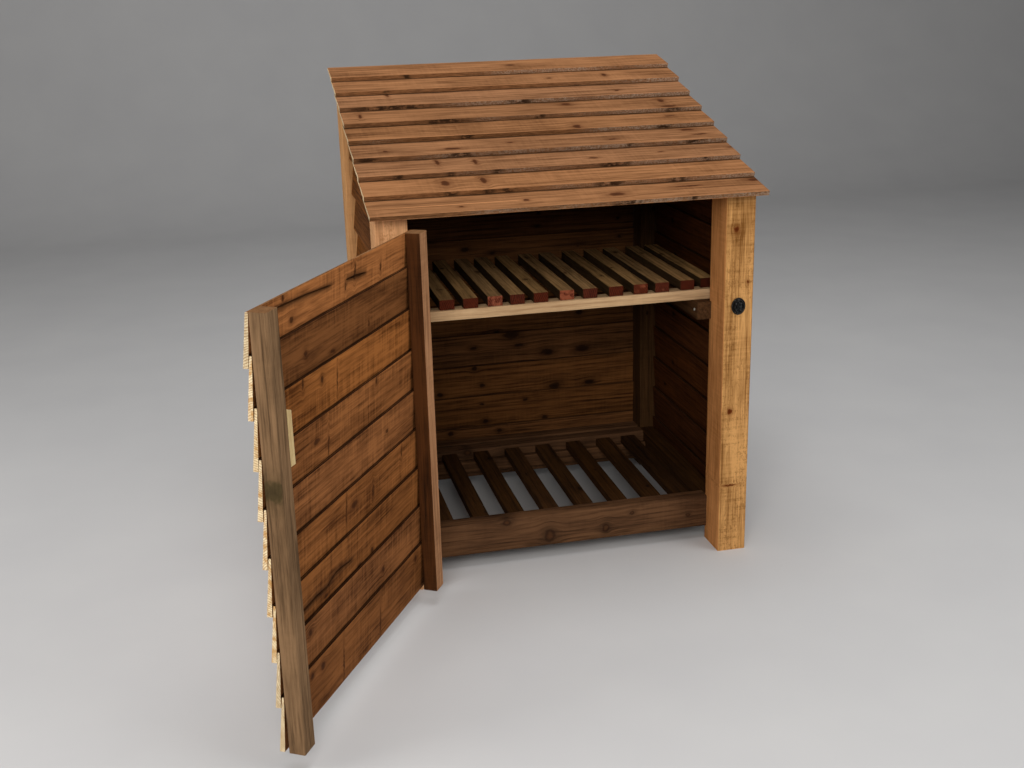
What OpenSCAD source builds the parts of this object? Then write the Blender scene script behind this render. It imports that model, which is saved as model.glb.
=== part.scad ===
// Small timber log store: four posts, lapped boards, a shelf, a slatted floor and one hinged door.
// All sizes are in millimetres. The origin is below the middle of the whole outline with the door
// open, on the ground. +X points to the right, +Y to the back and +Z up.

/* [Body] */
// Width over the posts
body_w = 952; // [860:1:1100]
// Depth over the posts
body_d = 756; // [700:1:800]
// Height of the roof's back edge
total_h = 1260; // [1200:1:1400]
// Post width, seen from the front
post_w = 78; // [70:1:90]
// Post depth, seen from the side
post_d = 100; // [90:1:115]
// Height of the lowest rails above the ground
ground_gap = 38; // [25:1:60]
// Radius of the posts' rounded edges
post_edge = 3; // [1:0.5:6]

/* [Cladding] */
// Width of one tapered board
board_w = 125; // [118:1:140]
// Thickness at a board's lower edge
board_thick = 12; // [9:0.5:15]
// Thickness at a board's upper edge
board_thin = 5; // [4:0.5:7]
// Aimed step from one board to the next
board_step = 98; // [90:1:105]
// Width of the topmost board, which is trimmed
board_top_w = 106; // [90:1:118]
// How far the boards' seat lies inside the posts' outer faces
clad_inset = 36; // [30:1:45]

/* [Roof] */
// How far the roof boards stand out from the posts on each side
roof_side = 16; // [6:1:40]
// Slope of the roof's underside in degrees
roof_pitch = 19.5; // [15:0.5:22]
// How far the roof's front edge stands out from the posts
roof_front = 38.6; // [20:0.1:60]
// How far the roof's back edge stands out from the posts
roof_back = 44.4; // [25:0.1:60]

/* [Rails and floor] */
// Height of the bottom rails
rail_h = 90; // [70:1:110]
// Thickness of the front and back floor rails
rail_t = 45; // [38:1:50]
// Radius of the floor rails' rounded edges
rail_edge = 5; // [2:0.5:8]
// Distance of the front floor rail from the posts' front faces
rail_back = 86; // [72:1:95]
// Width of one floor slat
slat_w = 45; // [38:1:50]
// Thickness of one floor slat
slat_t = 22; // [18:1:28]
// How far the floor lies below the rails' upper faces
slat_drop = 9; // [4:1:14]
// Number of floor slats
slat_count = 8; // [6:1:9]
// Thickness of the ledgers that carry the floor slats
ledger_t = 20; // [16:1:28]

/* [Shelf] */
// Height of the shelf's upper face
shelf_z = 728; // [640:1:790]
// Width of a shelf slat
shelf_slat_w = 38; // [32:1:42]
// Thickness of a shelf slat
shelf_slat_t = 26; // [20:1:30]
// Number of shelf slats
shelf_slat_count = 14; // [11:1:15]
// Gap between the shelf's back edge and the back posts
shelf_back_gap = 74; // [40:1:160]
// Height of the shelf's cross rails
cross_t = 27; // [22:1:32]
// Width of the shelf's cross rails
cross_w = 38; // [32:1:45]
// Width of the shelf's side bearers
bearer_w = 38; // [32:1:45]
// Height of the shelf's side bearers
bearer_h = 47; // [38:1:55]

/* [Door] */
// Angle at which the door stands open, in degrees
door_open = 121; // [95:1:150]
// Gap between the door's edges and the posts
door_gap = 16.5; // [12:0.5:22]
// Gap between the ground and the door
door_low = 42.5; // [30:0.5:60]
// Gap between the door and the roof's front line
door_top_gap = 14.7; // [12:0.1:40]
// Width of the two upright battens
batten_w = 45; // [38:1:55]
// Thickness of the two upright battens
batten_t = 36; // [30:1:42]
// Radius of the battens' rounded edges
batten_edge = 2.5; // [1:0.5:5]
// Width of the block beside the free batten
block_w = 19; // [15:1:28]
// Height of the block at the batten
block_h = 113; // [90:1:150]

/* [Hinges and catch] */
// Radius of the hinge barrel
barrel_r = 6; // [5:0.5:8]
// Radius of the hinge pin
pin_r = 3; // [2.5:0.25:3.5]
// Length of the strap on the door
strap_len = 268; // [200:1:320]
// Height of the plate on the post
plate_h = 118; // [90:1:150]
// Width of the plate on the post
plate_w = 36; // [28:1:42]
// Thickness of the hinge's plate and strap
leaf_t = 3; // [2:0.5:4]
// Width of the oval catch plate on the right post
catch_w = 37; // [30:1:44]
// Height of the oval catch plate
catch_h = 44; // [40:1:52]
// Width of the catch's raised rim
catch_rim = 4; // [3:0.5:6]

/* [Hidden] */
$fn = 48;

// Clearances between pieces
board_gap = 0.3;
pin_gap = 0.05;
knuckle_gap = 0.6;
trim_gap = 0.5;

// Width of the flat strip at the back of a board's upper edge
board_seat = 8;

half_w = body_w / 2;
inner_x = half_w - post_w;
side_plane = half_w - clad_inset;
back_plane = body_d - clad_inset;
back_post_y = body_d - post_d;

// The roof's underside: a plane through the front line at roof_y0, roof_z0
roof_w = body_w + 2 * roof_side;
roof_y0 = -roof_front;
roof_len = (roof_front + body_d + roof_back) / cos(roof_pitch);
roof_top_t = thin_at(board_top_w);
roof_z0 = total_h - roof_len * sin(roof_pitch) - roof_top_t * cos(roof_pitch);
roof_y1 = roof_y0 + roof_len * cos(roof_pitch);

// Rails inside the cladding
side_rail_t = side_plane - inner_x;
side_rail_h = 48;
back_rail_t = 42;
back_rail_y = back_plane - back_rail_t;
back_rail_top_h = 60;
rail_top = ground_gap + rail_h;
base_back_y = back_post_y + 11 - rail_t;

// Floor
floor_y0 = rail_back + rail_t;
floor_y1 = base_back_y;
floor_z = rail_top - slat_drop;
ledger_h = 38;
slat_first = 58;
slat_last = 30;
slat_tight = 17;
slat_span = 2 * inner_x - slat_first - slat_last - slat_w + slat_tight;
slat_pitch = slat_span / (slat_count - 1);

// Shelf, from the top down
cross_z = shelf_z - shelf_slat_t - cross_t;
bearer_z = cross_z - bearer_h;
bearer_y0 = rail_back;
bearer_y1 = back_plane - 5;
shelf_y0 = rail_back + 27;
shelf_y1 = back_post_y - shelf_back_gap;
shelf_half = side_plane - 4;
shelf_last = 14;
shelf_slat_back = 3;
shelf_span = 2 * shelf_half - shelf_last - shelf_slat_w;
shelf_slat_pitch = shelf_span / (shelf_slat_count - 1);

// Catch on the right post
catch_x = half_w - 40;
catch_z = shelf_z - 48;
catch_t = 4;

// Door in its closed place
door_z0 = door_low;
door_z1 = roof_z0 - door_top_gap;
door_h = door_z1 - door_z0;
door_x0 = -inner_x + door_gap;
door_x1 = inner_x - door_gap;
door_w = door_x1 - door_x0;
door_n = course_count(door_h);
door_step = course_step(door_h);
door_face = stand_off(door_step);
door_plane = door_face - 0.7;
door_back = door_plane + batten_t;
block_z0 = catch_z - 44;

// Hinge axis, and the boards whose lower edges carry the straps
pivot_x = -inner_x - 8;
pivot_y = -barrel_r - leaf_t;
strap_y = door_plane - door_face;
strap_h = 34;
strap_tip_h = 20;
strap_drop = 4;
knuckle_h = 34;
web_w = 12;
plate_x1 = pivot_x - barrel_r - 3;
low_hinge_z = door_z0 + door_step - strap_drop + strap_h / 2;
high_hinge_z = door_z0 + (door_n - 1) * door_step - strap_drop + strap_h / 2;

// Outline with the door open, which sets the origin
door_ends = [for (x = [door_x0, door_x1], y = [strap_y, door_back]) swing([x - pivot_x, y - pivot_y])];
min_x = min(-roof_w / 2, min([for (p = door_ends) p[0]]));
max_x = max(roof_w / 2, max([for (p = door_ends) p[0]]));
min_y = min([for (p = door_ends) p[1]]);
max_y = roof_y1;
origin_x = (min_x + max_x) / 2;
origin_y = (min_y + max_y) / 2;

// Colours of the timber and the iron
post_tone = [0.62, 0.44, 0.26];
board_tone = [0.45, 0.28, 0.15];
roof_tone = [0.55, 0.39, 0.24];
rail_tone = [0.38, 0.26, 0.16];
pale_tone = [0.72, 0.60, 0.40];
iron_tone = [0.06, 0.06, 0.06];

// Height of the roof's underside above a point y
function roof_z(y) = roof_z0 + (y - roof_y0) * tan(roof_pitch);

// Thickness of a board's upper edge once it is trimmed to a width
function thin_at(w) = board_thin + (board_thick - board_thin) * (1 - w / board_w);

// Courses of boards over a height, with a trimmed board at the top
function course_count(h) = round((h - board_top_w) / board_step) + 1;
function course_step(h) = (h - board_top_w) / (course_count(h) - 1);

// How far a board's lower back edge stands off its seat, so that it lies on the board below
function lean(step) = (board_thick + board_gap) * board_w / step - (board_thick - board_thin);
function stand_off(step) = lean(step) + board_thick;

// Place of a point of the door, given from the hinge axis, once the door stands open
function swing(p) = [
    pivot_x + p[0] * cos(door_open) + p[1] * sin(door_open),
    pivot_y - p[0] * sin(door_open) + p[1] * cos(door_open)
];

// Everything is moved from the store's own middle to the origin
module placed() {
    translate([-origin_x, -origin_y, 0])
        children();
}

// The door's pieces, turned about the hinge axis to the open place
module on_door() {
    placed()
        translate([pivot_x, pivot_y, 0])
            rotate([0, 0, -door_open])
                translate([-pivot_x, -pivot_y, 0])
                    children();
}

// A piece of the right half, or its mirror image on the left
module on_side(side) {
    if (side < 0)
        mirror([1, 0, 0])
            children();
    else
        children();
}

// Section of one tapered board: up the wall along x, outwards along y
module board_section(w, step) {
    polygon([
        [0, lean(step)],
        [0, stand_off(step)],
        [w, thin_at(w)],
        [w, 0],
        [w - board_seat, 0]
    ]);
}

// Lapped boards of a wall: up along z, outwards along y, in length along -x
module upright_boards(length, count, step, top_w) {
    for (i = [0 : count - 1])
        translate([0, 0, i * step])
            rotate([0, -90, 0])
                linear_extrude(length)
                    board_section(i == count - 1 ? top_w : board_w, step);
}

// Rectangle with rounded corners, from a low to a high corner
module rounded_rect(low, high, r) {
    size = high - low;
    translate([low[0] + r, low[1]])
        square([size[0] - 2 * r, size[1]]);
    translate([low[0], low[1] + r])
        square([size[0], size[1] - 2 * r]);
    for (x = [low[0] + r, high[0] - r], y = [low[1] + r, high[1] - r])
        translate([x, y])
            circle(r);
}

// A rail or post drawn from the side, between two places along x
module side_prism(x0, x1, points) {
    translate([x0, 0, 0])
        rotate([90, 0, 90])
            linear_extrude(x1 - x0)
                polygon(points);
}

module box_between(low, high) {
    translate(low)
        cube(high - low);
}

// Post with rounded edges and its top cut to the slope of the roof
module post(side, y0) {
    y1 = y0 + post_d;
    placed()
        on_side(side)
            intersection() {
                linear_extrude(total_h)
                    rounded_rect([inner_x, y0], [half_w, y1], post_edge);
                side_prism(inner_x - 1, half_w + 1, [
                    [y0 - 1, 0],
                    [y1 + 1, 0],
                    [y1 + 1, roof_z(y1 + 1)],
                    [y0 - 1, roof_z(y0 - 1)]
                ]);
            }
}

module front_post_left() color(post_tone) post(-1, 0);
module front_post_right() color(post_tone) post(1, 0);
module back_post_left() color(post_tone) post(-1, back_post_y);
module back_post_right() color(post_tone) post(1, back_post_y);

module side_bottom_rail(side) {
    placed()
        on_side(side)
            box_between([inner_x, post_d, ground_gap], [side_plane, back_post_y, rail_top]);
}

module side_bottom_rail_left() color(rail_tone) side_bottom_rail(-1);
module side_bottom_rail_right() color(rail_tone) side_bottom_rail(1);

// Sloping rail under the roof, between the posts of one side
module side_top_rail(side) {
    y0 = post_d;
    y1 = back_post_y;
    placed()
        on_side(side)
            side_prism(inner_x, side_plane, [
                [y0, roof_z(y0) - side_rail_h],
                [y1, roof_z(y1) - side_rail_h],
                [y1, roof_z(y1)],
                [y0, roof_z(y0)]
            ]);
}

module side_top_rail_left() color(rail_tone) side_top_rail(-1);
module side_top_rail_right() color(rail_tone) side_top_rail(1);

module back_bottom_rail() color(rail_tone)
    placed()
        box_between([-inner_x, back_rail_y, ground_gap], [inner_x, back_plane, rail_top]);

module back_top_rail() color(rail_tone) {
    low = roof_z(back_rail_y) - back_rail_top_h;
    placed()
        side_prism(-inner_x, inner_x, [
            [back_rail_y, low],
            [back_plane, low],
            [back_plane, roof_z(back_plane)],
            [back_rail_y, roof_z(back_rail_y)]
        ]);
}

// Boards of one side, between the posts, cut off along the roof
module side_boards(side) {
    length = back_post_y - post_d;
    count = ceil((roof_z(back_post_y) - ground_gap) / board_step);
    reach = side_plane + stand_off(board_step) + 1;
    placed()
        on_side(side)
            intersection() {
                translate([side_plane, post_d, ground_gap])
                    rotate([0, 0, -90])
                        upright_boards(length, count, board_step, board_w);
                side_prism(side_plane - 1, reach, [
                    [post_d - 1, 0],
                    [back_post_y + 1, 0],
                    [back_post_y + 1, roof_z(back_post_y + 1) - trim_gap],
                    [post_d - 1, roof_z(post_d - 1) - trim_gap]
                ]);
            }
}

module left_side_boards() color(board_tone) side_boards(-1);
module right_side_boards() color(board_tone) side_boards(1);

module back_boards() color(board_tone) {
    height = roof_z(back_plane) - trim_gap - ground_gap;
    placed()
        translate([inner_x, back_plane, ground_gap])
            upright_boards(2 * inner_x, course_count(height), course_step(height), board_top_w);
}

// Roof boards, each lying over the one below it
module roof_boards() color(roof_tone) {
    count = course_count(roof_len);
    step = course_step(roof_len);
    placed()
        translate([-roof_w / 2, roof_y0, roof_z0])
            rotate([roof_pitch, 0, 0])
                rotate([90, 0, 90])
                    for (i = [0 : count - 1])
                        translate([i * step, 0, 0])
                            linear_extrude(roof_w)
                                board_section(i == count - 1 ? board_top_w : board_w, step);
}

// Planed floor rail with rounded edges
module floor_rail(y) {
    placed()
        translate([-inner_x, 0, 0])
            rotate([90, 0, 90])
                linear_extrude(2 * inner_x)
                    rounded_rect([y, ground_gap], [y + rail_t, rail_top], rail_edge);
}

module floor_front_rail() color(rail_tone) floor_rail(rail_back);
module floor_back_rail() color(rail_tone) floor_rail(base_back_y);

// Ledger along a floor rail, which carries the slats' ends
module floor_ledger(y) {
    top = floor_z - slat_t;
    placed()
        box_between([-inner_x, y, top - ledger_h], [inner_x, y + ledger_t, top]);
}

module floor_ledger_front() color(rail_tone) floor_ledger(floor_y0);
module floor_ledger_back() color(rail_tone) floor_ledger(floor_y1 - ledger_t);

// Floor slats at an even pitch, with the last one set closer
module floor_slats() color(rail_tone)
    placed()
        for (i = [0 : slat_count - 1]) {
            shift = i == slat_count - 1 ? slat_tight : 0;
            translate([-inner_x + slat_first + i * slat_pitch - shift, floor_y0, floor_z - slat_t])
                cube([slat_w, floor_y1 - floor_y0, slat_t]);
        }

module shelf_bearer(side) {
    placed()
        on_side(side)
            box_between([inner_x - bearer_w, bearer_y0, bearer_z], [inner_x, bearer_y1, cross_z]);
}

module shelf_bearer_left() color(rail_tone) shelf_bearer(-1);
module shelf_bearer_right() color(rail_tone) shelf_bearer(1);

module shelf_rail(y) {
    placed()
        box_between([-shelf_half, y, cross_z], [shelf_half, y + cross_w, cross_z + cross_t]);
}

module shelf_front_rail() color(pale_tone) shelf_rail(shelf_y0);
module shelf_back_rail() color(pale_tone) shelf_rail(shelf_y1 - cross_w);

module shelf_slats() color(rail_tone)
    placed()
        for (i = [0 : shelf_slat_count - 1])
            translate([
                -shelf_half + i * shelf_slat_pitch,
                shelf_y0 + shelf_slat_back,
                shelf_z - shelf_slat_t
            ])
                cube([shelf_slat_w, shelf_y1 - shelf_y0 - shelf_slat_back, shelf_slat_t]);

// Upright oval, drawn lying on the ground plane
module oval(w, h, t) {
    r = w / 2;
    reach = (h - w) / 2;
    translate([0, reach, 0])
        cylinder(h = t, r = r);
    translate([0, -reach, 0])
        cylinder(h = t, r = r);
    translate([-r, -reach, 0])
        cube([w, h - w, t]);
}

// Oval black catch on the front face of the right post: a flange, a raised rim and a middle button
module door_catch() color(iron_tone)
    placed()
        translate([catch_x, 0, catch_z])
            rotate([90, 0, 0]) {
                rim_w = catch_w - 2 * catch_rim;
                rim_h = catch_h - 2 * catch_rim;
                oval(catch_w, catch_h, catch_t);
                difference() {
                    oval(rim_w, rim_h, catch_t + 4);
                    translate([0, 0, catch_t])
                        oval(rim_w - 2 * catch_rim, rim_h - 2 * catch_rim, catch_t + 1);
                }
                cylinder(h = catch_t + 3, r = catch_rim + 1);
            }

// Post side of a hinge: the plate, two knuckles and the pin through them
module hinge_plate(z) {
    reach = 1.5 * knuckle_h;
    gap = knuckle_h / 2 + knuckle_gap / 2;
    placed() {
        box_between([plate_x1 - plate_w, -leaf_t, z - plate_h / 2], [plate_x1, 0, z + plate_h / 2]);
        for (low = [z - reach, z + gap]) {
            translate([pivot_x, pivot_y, low])
                cylinder(h = reach - gap, r = barrel_r);
            box_between([plate_x1 - 1, pivot_y, low], [pivot_x, 0, low + reach - gap]);
        }
        translate([pivot_x, pivot_y, z - reach])
            cylinder(h = 2 * reach, r = pin_r);
    }
}

module hinge_plate_top() color(iron_tone) hinge_plate(high_hinge_z);
module hinge_plate_bottom() color(iron_tone) hinge_plate(low_hinge_z);

// Outline of the strap, which tapers to a round tip
module strap_outline(tip_x, height) {
    tip_r = strap_tip_h / 2;
    polygon([
        [pivot_x + web_w / 2, -height / 2],
        [tip_x - tip_r, -height / 2],
        [tip_x - tip_r, strap_tip_h - height / 2],
        [door_x0 + 30, height / 2],
        [pivot_x + web_w / 2, height / 2]
    ]);
    translate([tip_x - tip_r, tip_r - height / 2])
        circle(tip_r);
}

// Door side of a hinge: the tapered strap and the knuckle that turns on the pin
module hinge_strap(z) {
    height = knuckle_h - knuckle_gap;
    tip_x = door_x0 + strap_len;
    on_door()
        difference() {
            union() {
                translate([0, strap_y, z])
                    rotate([90, 0, 0])
                        linear_extrude(leaf_t)
                            strap_outline(tip_x, height);
                translate([pivot_x, pivot_y, z - height / 2])
                    cylinder(h = height, r = barrel_r);
                box_between(
                    [pivot_x, pivot_y, z - height / 2],
                    [pivot_x + web_w, strap_y, z + height / 2]
                );
            }
            translate([pivot_x, pivot_y, z - height])
                cylinder(h = 2 * height, r = pin_r + pin_gap);
        }
}

module hinge_strap_top() color(iron_tone) hinge_strap(high_hinge_z);
module hinge_strap_bottom() color(iron_tone) hinge_strap(low_hinge_z);

module door_batten(x) {
    on_door()
        translate([0, 0, door_z0])
            linear_extrude(door_h)
                rounded_rect([x, door_plane], [x + batten_w, door_back], batten_edge);
}

module door_batten_hinge() color(rail_tone) door_batten(door_x0);
module door_batten_free() color(rail_tone) door_batten(door_x1 - batten_w);

module door_boards() color(board_tone)
    on_door()
        translate([door_x0, door_plane, door_z0])
            rotate([0, 0, 180])
                upright_boards(door_w, door_n, door_step, board_top_w);

// Pale offcut beside the free batten, on the inside of the door, with its top cut like the roof
module catch_block() color(pale_tone) {
    x1 = door_x1 - batten_w;
    x0 = x1 - block_w;
    on_door()
        translate([0, door_back - 1, block_z0])
            rotate([90, 0, 0])
                linear_extrude(batten_t - 1)
                    polygon([
                        [x0, 0],
                        [x1, 0],
                        [x1, block_h],
                        [x0, block_h - block_w * tan(roof_pitch)]
                    ]);
}

front_post_left();
front_post_right();
back_post_left();
back_post_right();
side_bottom_rail_left();
side_bottom_rail_right();
side_top_rail_left();
side_top_rail_right();
back_bottom_rail();
back_top_rail();
left_side_boards();
right_side_boards();
back_boards();
roof_boards();
floor_front_rail();
floor_back_rail();
floor_ledger_front();
floor_ledger_back();
floor_slats();
shelf_bearer_left();
shelf_bearer_right();
shelf_front_rail();
shelf_back_rail();
shelf_slats();
door_catch();
hinge_plate_top();
hinge_plate_bottom();
door_batten_hinge();
door_batten_free();
door_boards();
hinge_strap_top();
hinge_strap_bottom();
catch_block();
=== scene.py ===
"""Log store: dressed timber, iron fittings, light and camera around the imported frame."""
import math

import bmesh
import bpy
import numpy as np
from mathutils import Matrix, Vector


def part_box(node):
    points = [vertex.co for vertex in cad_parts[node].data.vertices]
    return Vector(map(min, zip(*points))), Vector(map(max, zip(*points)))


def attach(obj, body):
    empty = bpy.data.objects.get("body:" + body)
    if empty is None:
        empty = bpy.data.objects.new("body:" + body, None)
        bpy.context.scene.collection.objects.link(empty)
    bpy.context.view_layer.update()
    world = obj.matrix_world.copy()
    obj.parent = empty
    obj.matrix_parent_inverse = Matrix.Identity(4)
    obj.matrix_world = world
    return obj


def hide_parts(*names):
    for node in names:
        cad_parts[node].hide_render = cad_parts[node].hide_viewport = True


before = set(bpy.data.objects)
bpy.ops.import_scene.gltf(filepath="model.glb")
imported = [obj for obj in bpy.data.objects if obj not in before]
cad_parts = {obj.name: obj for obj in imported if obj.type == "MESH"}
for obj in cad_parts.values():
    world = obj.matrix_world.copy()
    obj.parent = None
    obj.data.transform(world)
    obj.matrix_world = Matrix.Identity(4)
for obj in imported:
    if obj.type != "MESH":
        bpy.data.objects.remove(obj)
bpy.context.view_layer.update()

# Sizes of the store in millimetres: x from its middle, y from the posts' front faces, z from the ground
MM = 0.001
HALF_W, INNER_X = 476.0, 398.0
POST_W, POST_D, BACK_POST_Y = 78.0, 100.0, 656.0
SIDE_PLANE, BACK_PLANE = 440.0, 720.0
GROUND_GAP, RAIL_TOP = 38.0, 128.0
SIDE_TOP_H, BACK_TOP_H, BACK_RAIL_D = 48.0, 60.0, 42.0
BOARD_W, BOARD_TOP_W, BOARD_STEP, SIDE_COUNT = 125.0, 106.0, 98.0, 12
BOARD_THICK, BOARD_THIN, BOARD_GAP, BOARD_SEAT = 12.0, 5.0, 0.3, 8.0
ROOF_HALF, ROOF_Y0, ROOF_Z0, ROOF_LEN = 492.0, -38.6, 957.178, 890.05
ROOF_CLEAR = 0.5
PITCH = math.radians(19.5)
DOOR_X, DOOR_Z0, DOOR_Z1, DOOR_PROUD = 381.5, 42.5, 942.478, 0.7
PIVOT = (-406.0, -9.0)
DOOR_OPEN = math.radians(121)
BATTEN_W, BATTEN_T = 45.0, 36.0
BLOCK_W, BLOCK_D, BLOCK_H, BLOCK_Z = 19.0, 35.0, 113.0, 636.0
FLOOR_RAIL_Y, FLOOR_RAIL_D = (86.0, 622.0), 45.0
LEDGER_Y, LEDGER_D, LEDGER_Z = (131.0, 602.0), 20.0, (59.0, 97.0)
FLOOR_COUNT, FLOOR_X0, FLOOR_SPAN, FLOOR_LAST_IN = 8, -340.0, 680.0, 17.0
FLOOR_SLAT_W, FLOOR_TOP, FLOOR_KNOT_RUN = 45.0, 119.0, 490.0
BEARER_W, BEARER_Y, BEARER_Z, BEARER_SHORT = 38.0, 86.0, (628.0, 675.0), 5.0
SHELF_HALF, SHELF_RAIL_Y, SHELF_RAIL_D, SHELF_RAIL_TOP = 436.0, (113.0, 544.0), 38.0, 702.0
SHELF_COUNT, SHELF_SPAN, SHELF_SLAT_W, SHELF_Y, SHELF_Z = 14, 820.0, 38.0, (116.0, 582.0), 728.0
BEARER_SCREW_Y, BEARER_SCREW_Z = (106.0, 390.0, 690.0), 652.0
CATCH_AT, CATCH_W, CATCH_H = (436.0, 0.0, 680.0), 37.0, 44.0
HINGE_Z = (154.75, 849.5)
STRAP_FACE, STRAP_DROP, STRAP_SCREWS = -3.7, 6.0, (40, 110, 180, 250)
PLATE_FACE, PLATE_X, PLATE_SCREWS = -3.0, -433.0, (-44, -15, 15, 44)
SIDES = ((-1, "left"), (1, "right"))
X, Y, Z = (1, 0, 0), (0, 1, 0), (0, 0, 1)

# Most knots that one timber shows, and a place that no timber reaches
KNOTS = 6
FAR = 9000.0
FAR_SPOT = (-FAR, -FAR, 1.0, 1.0)

# Whole numbers that scatter the noise
HASH_CELL, HASH_SEED = np.array([374761393, 668265263, 974634777]), 144665
HASH_MIX, HASH_MASK, HASH_HALF = 1274126177, 0xFFFFFFFF, 2147483648.0

post_low, post_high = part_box("front_post_right")
ORIGIN = np.array([HALF_W * MM - post_high.x, -post_low.y, 0.0])


def roof_z(y):
    return ROOF_Z0 + (y - ROOF_Y0) * math.tan(PITCH)


def to_row(points, door=False):
    """Points of the store, in millimetres, as points of the row frame, in metres."""
    points = np.array(points, float).reshape(-1, 3)
    if door:
        a, b = points[:, 0] - PIVOT[0], points[:, 1] - PIVOT[1]
        c, s = math.cos(DOOR_OPEN), math.sin(DOOR_OPEN)
        points = np.stack([PIVOT[0] + a * c + b * s, PIVOT[1] - a * s + b * c, points[:, 2]], 1)
    return points * MM - ORIGIN


def value_noise(points, seed):
    """Smooth noise from -1 to 1 at each point."""
    cell = np.floor(points).astype(np.int64)
    f = points - cell
    f = f * f * (3 - 2 * f)
    total = np.zeros(len(points))
    for corner in np.ndindex(2, 2, 2):
        h = (((cell + np.array(corner)) * HASH_CELL).sum(axis=1) + seed * HASH_SEED) & HASH_MASK
        h = ((h ^ (h >> 13)) * HASH_MIX) & HASH_MASK
        h = h ^ (h >> 16)
        weight = np.prod(np.where(np.array(corner) == 1, f, 1 - f), axis=1)
        total += weight * (h / HASH_HALF - 1)
    return total


def linear(colour):
    """An 8-bit display colour as linear values."""
    parts = [c / 255 for c in colour]
    return tuple(p / 12.92 if p <= 0.04045 else ((p + 0.055) / 1.055) ** 2.4 for p in parts) + (1.0,)


def shade(colour, share):
    """A display colour made lighter or darker, as linear values."""
    return linear([min(255, share * c) for c in colour])


def between(a, b, share):
    """A display colour between two others, as linear values."""
    return linear([(1 - share) * p + share * q for p, q in zip(a, b)])


# Looks

WOOD_GLOSS = 0.06
END_RINGS = 210.0


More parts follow.
